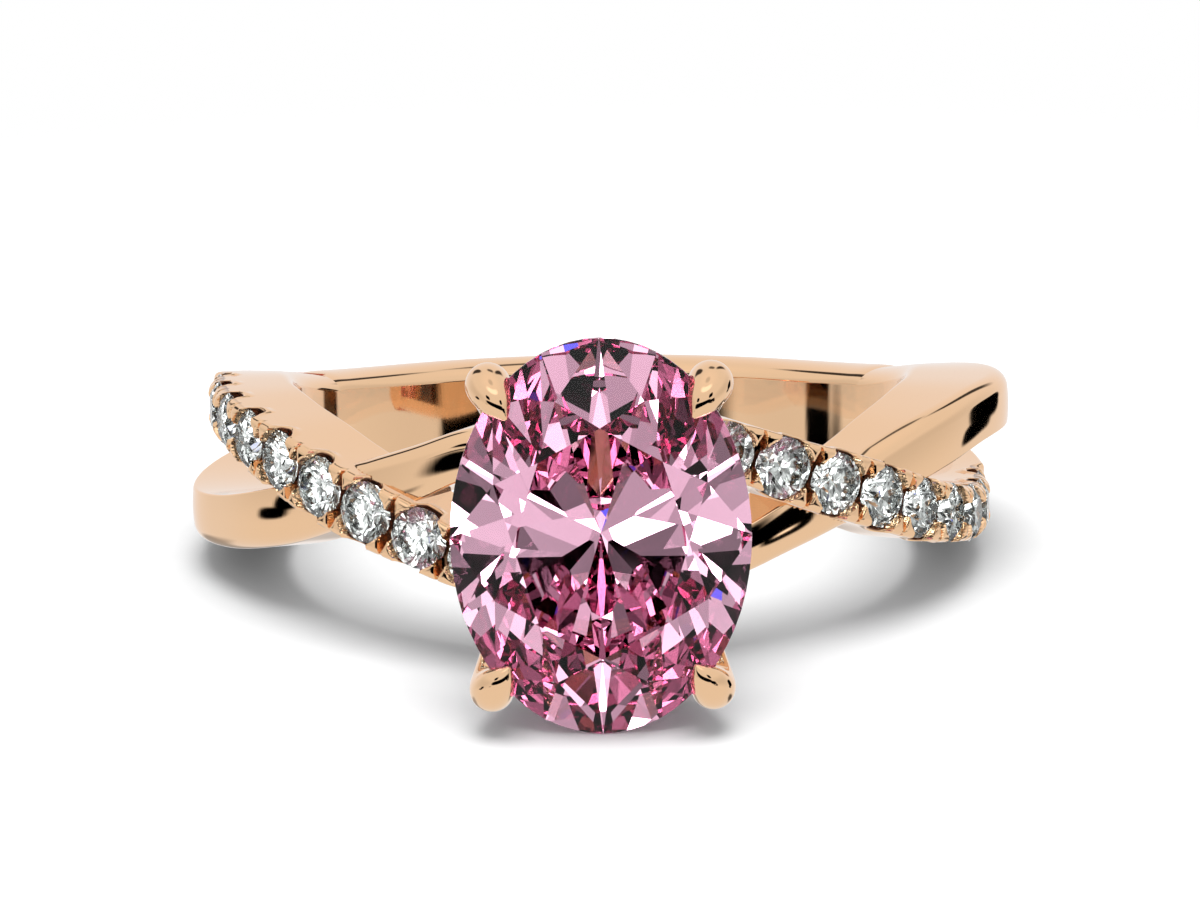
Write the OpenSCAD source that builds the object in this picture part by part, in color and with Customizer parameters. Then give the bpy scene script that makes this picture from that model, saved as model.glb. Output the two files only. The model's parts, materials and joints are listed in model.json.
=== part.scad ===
/* [Finger hole] */
// Radius of the finger hole
bore_r = 8.45; // [7.5:0.05:10]

/* [Strands] */
// Radius of the paved strand's top
paved_r = 10.87; // [10.5:0.01:11.2]
// Corner round on the plain strand and on the band
plain_round = 0.5; // [0.2:0.05:0.6]
// Corner round on the paved strand
paved_round = 0.14; // [0.05:0.01:0.3]

/* [Head] */
// Distance from the finger hole's axis to the girdle of the centre stone
girdle_rise = 14.78; // [14.4:0.02:15.4]
// Radius of the two oval rails
rail_r = 0.36; // [0.25:0.01:0.45]
// Thickness of a claw at the girdle, as a radius
claw_r = 0.58; // [0.45:0.01:0.65]

/* [Centre stone] */
// Length of the oval, along the finger
stone_l = 10.05; // [9:0.05:11]
// Width of the oval, across the finger
stone_w = 7.58; // [6.8:0.02:8.2]
// Height of the crown as a part of the width
crown_part = 0.15; // [0.12:0.01:0.18]
// Depth of the pavilion as a part of the width
pavilion_part = 0.43; // [0.38:0.01:0.45]
// Width of the table as a part of the whole outline
table_part = 0.58; // [0.5:0.01:0.66]
// Thickness of the girdle
girdle_h = 0.2; // [0.1:0.02:0.4]

/* [Hidden] */
gold = [0.91, 0.68, 0.52];
pink = [0.78, 0.45, 0.62];

// Small gap between the stone and the metal that holds it
seat_gap = 0.05;
// How far the swept strands reach inside the finger hole before it is bored
bore_stock = 0.3;
// Length and sides of the cutter that bores the finger hole, and how far its seam is turned back from the shoulder
bore_cut = 30;
bore_sides = 180;
bore_seam = 14;
// Angle between two sections of a strand, and of the band
step = 3;
// Steps in each rounded corner of a section
corner_steps = 3;

/* The ring's own frame: the hole runs along Z, the stone faces -Y, and angles are counted from the stone round the
   finger. Columns of the strands' table, from the stone to the back: angle, distance of the strand's middle from the
   ring's mid plane, half width of the paved strand, half width and outer radius of the plain strand. */
ANGLE = 0;
MIDDLE = 1;
PAVED_HALF = 2;
PLAIN_HALF = 3;
PLAIN_R = 4;
strand_rows = [
    [0, 0.00, 0.70, 0.62, 10.25],
    [9, -0.95, 0.72, 0.62, 10.30],
    [18, -1.40, 0.76, 0.64, 10.40],
    [27, -0.86, 0.88, 0.74, 10.45],
    [36, -0.30, 0.93, 0.79, 10.45],
    [45, 0.23, 0.94, 0.80, 10.45],
    [54, 0.74, 0.88, 0.80, 10.60],
    [63, 1.10, 0.80, 0.78, 10.80],
    [72, 1.36, 0.75, 0.75, 11.00],
    [81, 1.47, 0.73, 0.73, 11.28],
    [90, 1.48, 0.74, 0.74, 11.35],
    [100, 1.36, 0.75, 0.75, 11.30],
    [110, 1.12, 0.76, 0.76, 11.05],
    [120, 0.86, 0.76, 0.76, 10.62],
    [130, 0.70, 0.74, 0.74, 10.20]
];

// Both strands end inside the band. The paved one leaves its own radius at paved_end, takes paved_fade degrees to run
// down with the plain one, and ends paved_sink lower
strand_end = 126;
paved_end = 96;
paved_fade = 20;
paved_sink = 0.25;

// Columns of the band's table: angle, half width, outer radius
BAND_HALF = 1;
BAND_R = 2;
band_rows = [
    [114, 1.20, 10.10],
    [120, 1.66, 10.40],
    [130, 1.55, 10.42],
    [150, 1.47, 10.38],
    [180, 1.45, 10.38]
];

/* Columns of a claw's table, from the strand it stands on to its tip: distance from the mid plane across the finger and
   along it, rise over the girdle, radius as a part of claw_r. */
ACROSS = 0;
ALONG = 1;
RISE = 2;
THICK = 3;
claw_rows = [
    [2.20, 1.40, -4.95, 0.95],
    [2.30, 2.05, -3.60, 0.85],
    [2.48, 2.85, -2.00, 0.85],
    [2.70, 3.60, -0.70, 0.95],
    [2.79, 3.86, 0.00, 1.00],
    [2.72, 3.74, 0.52, 0.88],
    [2.52, 3.43, 0.88, 0.60],
    [2.32, 3.12, 1.06, 0.20]
];

// Columns of the rails' table: rise over the girdle, size as a part of the stone's oval
RAIL_RISE = 0;
RAIL_PART = 1;
rail_rows = [
    [-2.00, 0.83],
    [-3.60, 0.70]
];

/* Cut of the centre stone: sides of its girdle, size and height of the star corners as parts of the outline and the
   crown, size and depth of the pavilion's corners as parts of the outline and the pavilion, half length of the keel. */
stone_sides = 32;
star_part = 0.80;
star_rise = 0.60;
lower_part = 0.30;
lower_drop = 0.72;
keel_half = 1;

crown_h = crown_part * stone_w;
pavilion_h = pavilion_part * stone_w;

// The stone's lower end and the back of the band stand on the floor, so the stone's side is lifted by the tilt
band_last = band_rows[len(band_rows) - 1];
back_y = band_last[BAND_R] - plain_round;
back_z = band_last[BAND_HALF] - plain_round;
front_y = girdle_rise - girdle_h / 2;
foot_span = norm([front_y + back_y, stone_l / 2 - back_z]);
tilt = atan2(stone_l / 2 - back_z, front_y + back_y) - asin(plain_round / foot_span);
floor_drop = stone_l / 2 * cos(tilt) - front_y * sin(tilt);
claw_front = claw_rows[len(claw_rows) - 2];
front_end = (girdle_rise + claw_front[RISE]) * cos(tilt) + claw_front[ALONG] * sin(tilt) + claw_front[THICK] * claw_r;
back_end = band_last[BAND_R] * cos(tilt) + back_z * sin(tilt);

// Row of a table whose angle is the last one not past a
function row_before(table, a, i = 0) =
    i >= len(table) - 2 || table[i + 1][0] > a ? i : row_before(table, a, i + 1);

// Slope of a column at row i, from the rows on both sides of it
function slope(table, i, column) =
    let (below = max(i - 1, 0), above = min(i + 1, len(table) - 1))
    (table[above][column] - table[below][column]) / (table[above][0] - table[below][0]);

// A column's value at angle a, on a smooth curve through the rows
function smooth(table, a, column) =
    let (
        i = row_before(table, a),
        span = table[i + 1][0] - table[i][0],
        t = (a - table[i][0]) / span,
        from = table[i][column],
        to = table[i + 1][column]
    )
    from * (1 + 2 * t) * (1 - t) ^ 2
    + to * t * t * (3 - 2 * t)
    + slope(table, i, column) * span * t * (1 - t) ^ 2
    + slope(table, i + 1, column) * span * t * t * (t - 1);

// A strand's or the band's section as points of radius and height, with its two outer corners rounded
function section(outer_r, low, high, round_r) = concat(
    [[bore_r - bore_stock, low]],
    [for (k = [0:corner_steps]) let (a = -90 + 90 * k / corner_steps)
        [outer_r - round_r + round_r * cos(a), low + round_r + round_r * sin(a)]],
    [for (k = [0:corner_steps]) let (a = 90 * k / corner_steps)
        [outer_r - round_r + round_r * cos(a), high - round_r + round_r * sin(a)]],
    [[bore_r - bore_stock, high]]
);

// Puts a section at angle a round the finger
function placed(points, a) = [for (p = points) [p[0] * sin(a), -p[0] * cos(a), p[1]]];

// A closed solid through rings of points
module skin(rings) {
    n = len(rings[0]);
    last = len(rings) - 1;
    polyhedron(
        points = [for (ring = rings) each ring],
        faces = concat(
            [[for (k = [n - 1:-1:0]) k]],
            [for (i = [0:last - 1], k = [0:n - 1]) let (next = (k + 1) % n)
                [i * n + k, i * n + next, (i + 1) * n + next]],
            [for (i = [0:last - 1], k = [0:n - 1]) let (next = (k + 1) % n)
                [i * n + k, (i + 1) * n + next, (i + 1) * n + k]],
            [[for (k = [0:n - 1]) last * n + k]]
        ),
        convexity = 6
    );
}

// side is 1 for the plain strand, high at the right shoulder, and -1 for the paved one
module strand(side, round_r) {
    skin([for (a = [-strand_end:step:strand_end])
        let (
            middle = side * sign(a) * smooth(strand_rows, abs(a), MIDDLE),
            half = smooth(strand_rows, abs(a), side > 0 ? PLAIN_HALF : PAVED_HALF),
            fade = max(0, min(1, (abs(a) - paved_end) / paved_fade)),
            plain = smooth(strand_rows, abs(a), PLAIN_R),
            outer = side > 0 ? plain : paved_r + (plain - paved_r - paved_sink) * fade
        )
        placed(section(outer, middle - half, middle + half, round_r), a)]);
}

module band() {
    first = band_rows[0][ANGLE];
    skin([for (a = [first:step - 1:360 - first])
        let (from_front = min(a, 360 - a), half = smooth(band_rows, from_front, BAND_HALF))
        placed(section(smooth(band_rows, from_front, BAND_R), -half, half, plain_round), a)]);
}

// A claw, round in section, with its middle on the points of its table
module claw() {
    sides = 10;
    route = [for (row = claw_rows) [row[ACROSS], -(girdle_rise + row[RISE]), row[ALONG]]];
    last = len(route) - 1;
    along_oval = [stone_l, 0, -stone_w] / norm([stone_l, stone_w]);
    skin([for (i = [0:last])
        let (
            way = route[min(i + 1, last)] - route[max(i - 1, 0)],
            forward = way / norm(way),
            across = cross(along_oval, forward) / norm(cross(along_oval, forward)),
            sideways = cross(forward, across),
            r = claw_rows[i][THICK] * claw_r
        )
        [for (k = [0:sides - 1])
            route[i] + r * (cos(360 * k / sides) * sideways + sin(360 * k / sides) * across)]]);
}

// An oval wire under the stone that joins the four claws
module rail(row) {
    turns = 36;
    sides = 6;
    rings = [for (i = [0:turns - 1])
        let (
            a = 360 * i / turns,
            centre = [row[RAIL_PART] * stone_w / 2 * cos(a), -(girdle_rise + row[RAIL_RISE]),
                row[RAIL_PART] * stone_l / 2 * sin(a)],
            outward = [stone_l * cos(a), 0, stone_w * sin(a)]
        )
        [for (k = [0:sides - 1]) let (b = 360 * k / sides)
            centre + rail_r * (cos(b) * outward / norm(outward) + sin(b) * [0, 1, 0])]];
    polyhedron(
        points = [for (ring = rings) each ring],
        faces = concat(
            [for (i = [0:turns - 1], k = [0:sides - 1]) let (n = (i + 1) % turns, next = (k + 1) % sides)
                [i * sides + k, n * sides + next, i * sides + next]],
            [for (i = [0:turns - 1], k = [0:sides - 1]) let (n = (i + 1) % turns, next = (k + 1) % sides)
                [i * sides + k, n * sides + k, n * sides + next]]
        ),
        convexity = 6
    );
}

// A ring of points on the stone's oval, at part of its size, at a rise over the girdle
function oval(part, rise, sides, turn = 0, grow = 0) = [for (k = [0:sides - 1])
    let (a = 360 * k / sides + turn)
    [(stone_w / 2 * part + grow) * cos(a), -(girdle_rise + rise), (stone_l / 2 * part + grow) * sin(a)]];

// The oval brilliant: table, star and bezel corners, girdle, pavilion corners and a short keel
module brilliant(grow = 0) {
    keel_y = -(girdle_rise - pavilion_h - grow);
    points = concat(
        oval(table_part, crown_h + grow, 8, 22.5),
        oval(star_part, crown_h * star_rise + grow, 8),
        oval(1, girdle_h / 2 + grow, stone_sides, 0, grow),
        oval(1, -girdle_h / 2 - grow, stone_sides, 0, grow),
        oval(lower_part, -pavilion_h * lower_drop - grow, 8, 22.5),
        [[0, keel_y, keel_half], [0, keel_y, -keel_half]]
    );
    hull() polyhedron(points = points, faces = [[for (k = [0:len(points) - 1]) k]]);
}

// Stands the ring on the floor as it lies: the hole nearly upright, the stone's side lifted
module lying() {
    translate([0, (front_end - back_end) / 2, floor_drop]) rotate([-tilt, 0, 0]) children();
}

module mounting() {
    color(gold) lying() difference() {
        union() {
            strand(1, plain_round);
            strand(-1, paved_round);
            band();
            for (x = [0, 1], z = [0, 1]) mirror([x, 0, 0]) mirror([0, 0, z]) claw();
            for (row = rail_rows) rail(row);
        }
        brilliant(seat_gap);
        rotate([0, 0, bore_seam]) cylinder(r = bore_r, h = bore_cut, center = true, $fn = bore_sides);
    }
}

module centre_stone() {
    color(pink) lying() brilliant();
}

mounting();
centre_stone();
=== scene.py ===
import json
import math

import bmesh
import bpy
import numpy as np
from bpy.props import FloatProperty, FloatVectorProperty, PointerProperty
from mathutils import Matrix, Vector


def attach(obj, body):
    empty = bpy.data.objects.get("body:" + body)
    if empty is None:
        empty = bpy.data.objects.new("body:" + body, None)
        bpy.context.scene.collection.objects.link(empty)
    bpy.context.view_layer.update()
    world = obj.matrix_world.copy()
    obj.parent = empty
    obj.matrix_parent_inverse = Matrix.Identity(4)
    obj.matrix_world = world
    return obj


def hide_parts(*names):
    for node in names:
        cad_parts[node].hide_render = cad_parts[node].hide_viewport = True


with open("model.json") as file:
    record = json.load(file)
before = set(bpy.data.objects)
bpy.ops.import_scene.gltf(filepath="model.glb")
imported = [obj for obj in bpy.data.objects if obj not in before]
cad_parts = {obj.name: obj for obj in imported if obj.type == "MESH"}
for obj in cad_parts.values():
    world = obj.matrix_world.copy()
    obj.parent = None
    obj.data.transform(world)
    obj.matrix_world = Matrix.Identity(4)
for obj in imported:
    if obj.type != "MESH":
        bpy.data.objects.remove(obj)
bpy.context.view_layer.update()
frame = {"record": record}

bl_info = {
    "name": "Crossover engagement ring",
    "version": (1, 0, 0),
    "blender": (4, 5, 0),
    "location": "3D View > Sidebar > Ring",
    "description": "Builds a crossover ring with a paved strand and an oval stone, and its studio",
    "category": "Add Mesh",
}

MM = 0.001
HOLE = next(mount for mount in frame["record"]["mounts"] if mount["name"] == "finger_hole")
HOLE_R = HOLE["dims"]["r_mm"]

# The numbers from here to the finishes are in the ring's own frame, in millimetres: the hole runs along Z, the stone
# faces -Y, and angles are counted in degrees from the stone round the finger.

# The strands. Columns: angle, distance of the strand's middle from the mid plane, half width of the paved strand, half
# width and outer radius of the plain strand
STRAND_ROWS = (
    (0, 0.00, 0.70, 0.62, 10.25),
    (9, -0.95, 0.72, 0.62, 10.30),
    (18, -1.40, 0.76, 0.64, 10.40),
    (27, -0.86, 0.88, 0.74, 10.45),
    (36, -0.30, 0.93, 0.79, 10.45),
    (45, 0.23, 0.94, 0.80, 10.45),
    (54, 0.74, 0.88, 0.80, 10.60),
    (63, 1.10, 0.80, 0.78, 10.80),
    (72, 1.36, 0.75, 0.75, 11.00),
    (81, 1.47, 0.73, 0.73, 11.28),
    (90, 1.48, 0.74, 0.74, 11.35),
    (100, 1.36, 0.75, 0.75, 11.30),
    (110, 1.12, 0.76, 0.76, 11.05),
    (120, 0.86, 0.76, 0.76, 10.62),
    (130, 0.70, 0.74, 0.74, 10.20),
)
MIDDLE, PAVED_HALF, PLAIN_HALF, PLAIN_R = range(4)

# The band. Columns: angle, half width, outer radius
BAND_ROWS = (
    (114, 1.44, 10.30),
    (118, 1.63, 10.40),
    (124, 1.63, 10.42),
    (132, 1.54, 10.42),
    (150, 1.47, 10.38),
    (180, 1.45, 10.38),
)

# Rounding of a strand's edge away from the mid plane. Columns: angle, outer corner's reach inwards and across, inner
# corner's reach outwards and across
EDGE_ROWS = (
    (0, 0.50, 0.50, 0.13, 0.13),
    (50, 0.50, 0.50, 0.13, 0.13),
    (70, 0.50, 0.50, 0.14, 0.14),
    (81, 0.50, 0.50, 0.27, 0.25),
    (90, 0.56, 0.50, 0.41, 0.36),
    (98, 0.80, 0.50, 0.70, 0.44),
    (106, 1.05, 0.50, 0.92, 0.48),
    (118, 1.00, 0.50, 0.95, 0.48),
    (132, 0.96, 0.48, 0.95, 0.47),
    (180, 0.95, 0.47, 0.95, 0.47),
)
CRISP = 0.08  # rounding of a strand's edges towards the mid plane
SIDE_CHANGE = 0.5  # the rounded edge changes sides while a strand's middle goes this far through the plane

# How far the inner walls of the band and the paved strand lie behind the plain strand's, so that no two share a face
BAND_BEHIND, PAVED_BEHIND = 0.004, 0.002

# Under the paved strand the plain one is pressed in to this radius, from just inside the other's edges
UNDER_R, UNDER_INSIDE, UNDER_SLOPE = 9.6, 0.04, 0.08

BAND_STEP = 0.75  # degrees from one of the band's rings to the next
PLAIN_RINGS, CLAW_RINGS, RAIL_RINGS, RAIL_SIDES = 801, 71, 97, 24
CORNER_TURNS = np.radians(np.linspace(0, 90, 9))  # points of a rounded corner
FACE_PARTS = np.array((0.02, 0.5, 0.98))  # points of a flat side: beside its corners and in its middle
BAR_PARTS = np.linspace(0, 1, 31)[1:-1]  # points across the outer face of the band and the plain strand
SHARP = math.radians(35)  # an edge stays sharp from this angle between its faces

# Columns: angle of a small stone, its radius
PAVE_ROWS = (
    (17.8, 0.815),
    (26.8, 0.815),
    (35.8, 0.82),
    (44.8, 0.82),
    (53.8, 0.815),
    (63.0, 0.81),
    (72.4, 0.79),
    (81.8, 0.77),
    (91.0, 0.75),
)

# The paved strand's rings, in degrees: coarse steps in front and behind, fine ones where it is paved
FRONT_STEP, FINE_START, FINE_END, FINE_STEP, BACK_START, BACK_STEP = 0.8, 12.8, 97.6, 0.2, 98, 1
FACE_POINTS, FACE_EVEN = 61, 0.62  # points across its face, and the part of them that doesn't draw to its edges

# Changes along the paved strand: the angle from which or up to which they go, and the degrees that they take
FRONT_END, BACK_END = (14.2, 1.2), (94.6, 2.4)  # the ends of the paved face
CUT_SHADE_END = (97, 3)  # painted shade darkens the cuts up to here
TOP_SINKS = (96, 20)  # the top goes down into the band
EDGE_GROWS = (94, 14)  # the outer edges grow from the paved part's rounding to the band's
POSTS_ROUNDER = (55, 30)

# The outer face where it is paved
TOP_UNDER = 0.25  # where the top ends, under the plain strand's radius
PAVED_EDGE = 0.14  # rounding of its uncut outer edges
FACE_DROP = 0.02  # how far the posts lie under the top
SCALLOP_HALF = 0.42  # half the length of a scallop
POST_FROM, POST_RISE = 0.3, 0.2  # where a post starts along the strand from a stone's middle, and how soon it is full
WALL_GAP, POST_LEAN = 0.03, 0.08  # gap between stone and wall at a scallop, and how much nearer the posts come
NOTCH_TAPER, NOTCH_INSIDE, NOTCH_REACH = 0.30, 0.14, 0.6  # a notch widens inwards, from inside the edge over a reach
POST_ROUND, POST_ROUND_MORE = 0.2, 0.25  # rounding of the posts' outer edges, and how much it grows towards the back
PRONG_ROUND = 0.10  # rounding beside a seat or a notch
EDGE_SHARE = 0.25  # how much of the posts' outer rounding the face has at a scallop
SEAT_R, SEAT_SLOPE, SEAT_FLOOR_R = 10.25, 0.85, 9.7  # a seat's border, how steeply it goes down, and its lowest radius
CUT_SOFT = 0.06  # width of the walls of seats and notches

# The rolled lip under both outer edges: its rows, depth and bulge, the powers that place its rows and its bulge, and
# how it fades along the strand away from a stone
LIP_ROWS, LIP_DEPTH, LIP_BULGE, LIP_ROW_POWER, LIP_BULGE_POWER = 9, 0.36, 0.055, 1.3, 1.6
LIP_NEAR, LIP_FADE = 1.15, 0.5

# The attribute that says how deep in a cut a point lies, from 0 to 1, for the painted shade there, and the depths over
# which it goes up
DEPTH = "depth"
DEPTH_FROM, DEPTH_RUN = 0.22, 0.26

# A claw's middle line. Columns: distance from the stone's middle across the finger and along it, rise over the girdle,
# radius
CLAW_ROWS = (
    (2.20, 1.40, -4.95, 0.55),
    (2.30, 2.05, -3.60, 0.49),
    (2.48, 2.85, -2.00, 0.49),
    (2.70, 3.60, -0.70, 0.55),
    (2.79, 3.86, 0.00, 0.57),
    (2.72, 3.74, 0.52, 0.51),
    (2.52, 3.43, 0.88, 0.35),
    (2.32, 3.12, 1.06, 0.04),
)

# The rails. Columns: rise over the girdle, size as a part of the stone's oval
RAIL_ROWS = (
    (-2.00, 0.83),
    (-3.60, 0.70),
)

# A brilliant cut: half the turn from one main facet to the next, where the star and the lower facets end as parts of
# the outline, and the angle up to which two faces are one facet
CUT_TURN, STAR, LOWER, ONE_FACET = math.radians(22.5), 0.763, 0.24, math.radians(0.2)
BACK_FROM = -0.55  # a face lower than this part of the girdle's thickness is on the stone's back

# A small stone: parts of its radius, its table as a part of the outline, sides, and the turn from one to the next
SMALL_CROWN, SMALL_PAVILION, SMALL_GIRDLE, SMALL_TABLE, SMALL_SIDES, SMALL_TURN = 0.30, 0.86, 0.05, 0.57, 32, 2.4

# Finishes
DEEPER = 0.97  # tone of a finish's deeper zones
DULL_GOLD = (0.1, 0.1, 0.1, 1)  # the gold as dull surfaces see it
CUT_SHADE, CUT_SHADE_SHARE = (0.16, 0.06, 0.03, 1), 0.9  # painted shade in the deepest cuts, and how far they take it on
PINK_PALE, PINK_DEEP, PINK_IOR = (0.95, 0.92, 0.97), (0.93, 0.88, 0.94), 2.42
CLEAR_IOR = 2.4
FACET_MIRROR = (0.12, 0.12, 0.12, 1)
BACK_PALE, BACK_DEEP, BACK_ZONES, BACK_ROUGHNESS = (0.74, 0.75, 0.74, 1), (0.62, 0.64, 0.64, 1), 900, 0.08
FLOOR_PALE, FLOOR_DEEP = (0.93, 0.93, 0.93, 1), (0.90, 0.90, 0.90, 1)

# The floor, in metres: its radius, and the distances between which it fades away
FLOOR_R, FLOOR_FADE, FLOOR_GONE = 0.5, 0.022, 0.06

# The top light: bearing and height in degrees, distance and size in metres, power in watts
TOP_LIGHT = (0, 80, 0.3, 0.26, 0.74)

# How often light may bounce in all, off metal and through the stones
BOUNCES, METAL_BOUNCES, STONE_BOUNCES = 18, 16, 16

# Studio cards that the metal reflects, as seen from the ring. Columns: bearing from the camera towards the right,
# height over the horizon, half width and half height of the card, soft edge, all in degrees, and its brightness
METAL_CARDS = (
    (0, 90, 400, 34, 40, (0.93, 0.91, 0.90)),
    (-95, 4, 34, 12, 20, 0.70),
    (95, 4, 34, 12, 20, 0.70),
    (180, 5, 40, 34, 30, (0.90, 0.88, 0.88)),
    (0, 60, 52, 8, 5, 1.35),
    (0, 90, 400, 9, 8, 0.65),
    (-148, 30, 7, 14, 4, 0.05),
    (152, 30, 5, 14, 4, 0.05),
    (-160, -32, 22, 6, 5, 0.4),
    (140, -34, 14, 6, 5, 0.1),
    (172, 48, 12, 5, 4, 0.15),
    (-42, 24, 10, 7, 3, 0.0),
    (42, 24, 10, 8, 3, 0.0),
    (-4, 3, 50, 10, 2, 0.0),
    (-57, -9, 5, 1.2, 2, 0.3),
    (50, -3, 14, 7, 1.5, 0.0),
    (58, -9.5, 10, 4.5, 1.5, 0.0),
    (57, -10, 3.5, 0.8, 1.2, 1.3),
    (-93, -8, 6.5, 3.2, 1.2, 0.0),
    (-99.5, -12, 7, 2.2, 1.2, 0.0),
    (131, -6.5, 8.5, 6.5, 1.5, 0.0),
    (126, -13.5, 5.5, 2.6, 1, 0.0),
)
CARD_CORNER = 3.0  # power of a card's outline: 2 makes an ellipse, and more makes squarer corners

# The same for the stones
STONE_CARDS = (
    (0, 42, 28, 12, 3, 0.0),
)

# Lights all round that only the stones see. Columns: their share of the surroundings, their light
SPARKS = (
    (0.13, (0, 0, 0)),
    (0.12, (0.35, 0.35, 0.35)),
    (0.26, (0.85, 0.85, 0.85)),
    (0.22, (1.4, 1.4, 1.4)),
    (0.12, (2.5, 2.5, 2.5)),
    (0.014, (0.3, 0.45, 2.6)),
    (0.006, (3.0, 1.5, 0.6)),
    (0.13, (10, 10, 10)),
)
SPARK_SHIFT = (7.7, 13.09, 2.31)  # place in the pattern that they are picked from


class RingSizes(bpy.types.PropertyGroup):
    strand_end: FloatProperty(
        name="Strand end", description="Angle from the stone at which both strands end inside the band",
        default=math.radians(124), subtype="ANGLE")
    paved_top: FloatProperty(
        name="Paved top", description="Radius of the paved strand's posts", default=0.01087, unit="LENGTH", precision=5)
    pave_girdle: FloatProperty(
        name="Small stones' girdle", description="Radius at which the small stones' girdles stand",
        default=0.01056, unit="LENGTH", precision=5)
    scallop: FloatProperty(
        name="Scallop depth", description="Depth of the rounded cut beside each small stone",
        default=0.00038, unit="LENGTH", precision=5)
    notch: FloatProperty(
        name="Notch depth", description="Depth of the cut that splits each post", default=0.0004, unit="LENGTH",
        precision=5)
    crown: FloatProperty(
        name="Outer crown", description="Bulge of the plain strand's outer face", default=0.000025, unit="LENGTH",
        precision=6)


class StoneSizes(bpy.types.PropertyGroup):
    girdle_rise: FloatProperty(
        name="Girdle rise", description="Distance from the finger hole's axis to the centre stone's girdle",
        default=0.01478, unit="LENGTH", precision=5)
    length: FloatProperty(
        name="Length", description="Length of the centre stone along the finger", default=0.01005, unit="LENGTH",
        precision=5)
    width: FloatProperty(
        name="Width", description="Width of the centre stone across the finger", default=0.00758, unit="LENGTH",
        precision=5)
    crown: FloatProperty(
        name="Crown", description="Height of the crown as a part of the width", default=0.15)
    pavilion: FloatProperty(
        name="Pavilion", description="Depth of the pavilion as a part of the width", default=0.40)
    girdle: FloatProperty(
        name="Girdle", description="Thickness of the girdle", default=0.0002, unit="LENGTH", precision=5)
    table: FloatProperty(
        name="Table", description="Size of the table as a part of the outline", default=0.58)
    rail_r: FloatProperty(
        name="Rail radius", description="Radius of the oval rails under the stone", default=0.00036, unit="LENGTH",
        precision=5)


class Finishes(bpy.types.PropertyGroup):
    gold: FloatVectorProperty(
        name="Gold", description="Colour of the rose gold", default=(0.96, 0.63, 0.38), subtype="COLOR", size=3,
        min=0, max=1)
    gold_roughness: FloatProperty(
        name="Gold roughness", description="Roughness of the polished gold", default=0.035, subtype="FACTOR")
    open_reflections: FloatProperty(
        name="Open reflections", description="How far the gold leaves its own reflections out of the gold",
        default=0.9, subtype="FACTOR")
    open_in_cuts: FloatProperty(
        name="Open reflections in cuts", description="The same for the paved strand, whose cuts reflect each other",
        default=0.2, subtype="FACTOR")
    stone: FloatVectorProperty(
        name="Centre stone", description="Body colour of the centre stone", default=(0.76, 0.44, 0.58),
        subtype="COLOR", size=3, min=0, max=1)
    stone_density: FloatProperty(
        name="Stone depth", description="How fast the centre stone's colour deepens, for each metre of light path",
        default=175)
    small_stone: FloatVectorProperty(
        name="Small stones", description="Body colour of the small stones", default=(0.97, 0.98, 0.97),
        subtype="COLOR", size=3, min=0, max=1)


class StageSettings(bpy.types.PropertyGroup):
    distance: FloatProperty(
        name="Distance", description="Camera's distance from the middle of the finger hole", default=0.1478,
        unit="LENGTH", precision=4)
    elevation: FloatProperty(
        name="Elevation", description="Camera's height over the floor as an angle", default=math.radians(16.7),
        subtype="ANGLE")
    roll: FloatProperty(
        name="Roll", description="Camera's roll", default=math.radians(-0.65), subtype="ANGLE")
    lens: FloatProperty(
        name="Lens", description="Focal length in millimetres on a sensor 36 mm wide", default=159.2)
    surround: FloatProperty(
        name="Surround", description="Brightness of the studio round the ring", default=0.85)
    spark_scale: FloatProperty(
        name="Sparks", description="How many lights the stones see in the studio: more with a higher number",
        default=4.4)
    floor_light: FloatProperty(
        name="Floor light", description="Part of the surroundings' brightness that lights dull surfaces", default=0.86)


GROUPS = {
    "ring_sizes": RingSizes, "ring_stone": StoneSizes, "ring_finishes": Finishes, "ring_stage": StageSettings,
}


def in_mm(group, name):
    return getattr(group, name) / MM


def lying():
    """From the ring's own frame in millimetres to the shared frame in metres"""
    up = Vector(HOLE["axis"]).normalized()
    side = Vector((1, 0, 0))
    turn = Matrix((side, up.cross(side), up)).transposed().to_4x4()
    return Matrix.Translation(HOLE["pos_m"]) @ turn @ Matrix.Scale(MM, 4)


def smooth_rows(rows, angles):
    """Every column of a table at the angles, on natural cubic curves through its rows"""
    table = np.array(rows, float)
    knots, values = table[:, 0], table[:, 1:]
    spans = np.diff(knots)
    system, pull = np.eye(len(knots)), np.zeros_like(values)
    for i in range(1, len(knots) - 1):
        system[i, i - 1:i + 2] = spans[i - 1], 2 * (spans[i - 1] + spans[i]), spans[i]
        pull[i] = 6 * ((values[i + 1] - values[i]) / spans[i] - (values[i] - values[i - 1]) / spans[i - 1])
    bend = np.linalg.solve(system, pull)
    angles = np.clip(angles, knots[0], knots[-1])
    i = np.clip(np.searchsorted(knots, angles, side="right") - 1, 0, len(spans) - 1)
    t = ((angles - knots[i]) / spans[i])[:, None]
    s = 1 - t
    sixth = spans[i][:, None] ** 2 / 6
    curve = s * values[i] + t * values[i + 1] + sixth * ((s ** 3 - s) * bend[i] + (t ** 3 - t) * bend[i + 1])
    return curve.T


def ease(x):
    x = np.clip(x, 0, 1)
    return x * x * (3 - 2 * x)


def growing(x, start, run):
    """An even change from 0 at the start to 1 after the run"""
    return ease((x - start) / run)


def shrinking(x, end, run):
    """An even change from 1, a run before the end, to 0 at the end"""
    return ease((end - x) / run)


def cut_in(x):
    """0 outside a cut and 1 inside it, with a narrow wall between"""
    return ease(x / CUT_SOFT + 0.5)


def round_off(distance, radius):
    """How far a rounded border of the radius lies under its top, at a distance from the border"""
    inside = radius - np.clip(distance, 0, radius)
    return radius - np.sqrt(radius ** 2 - inside ** 2)


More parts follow.
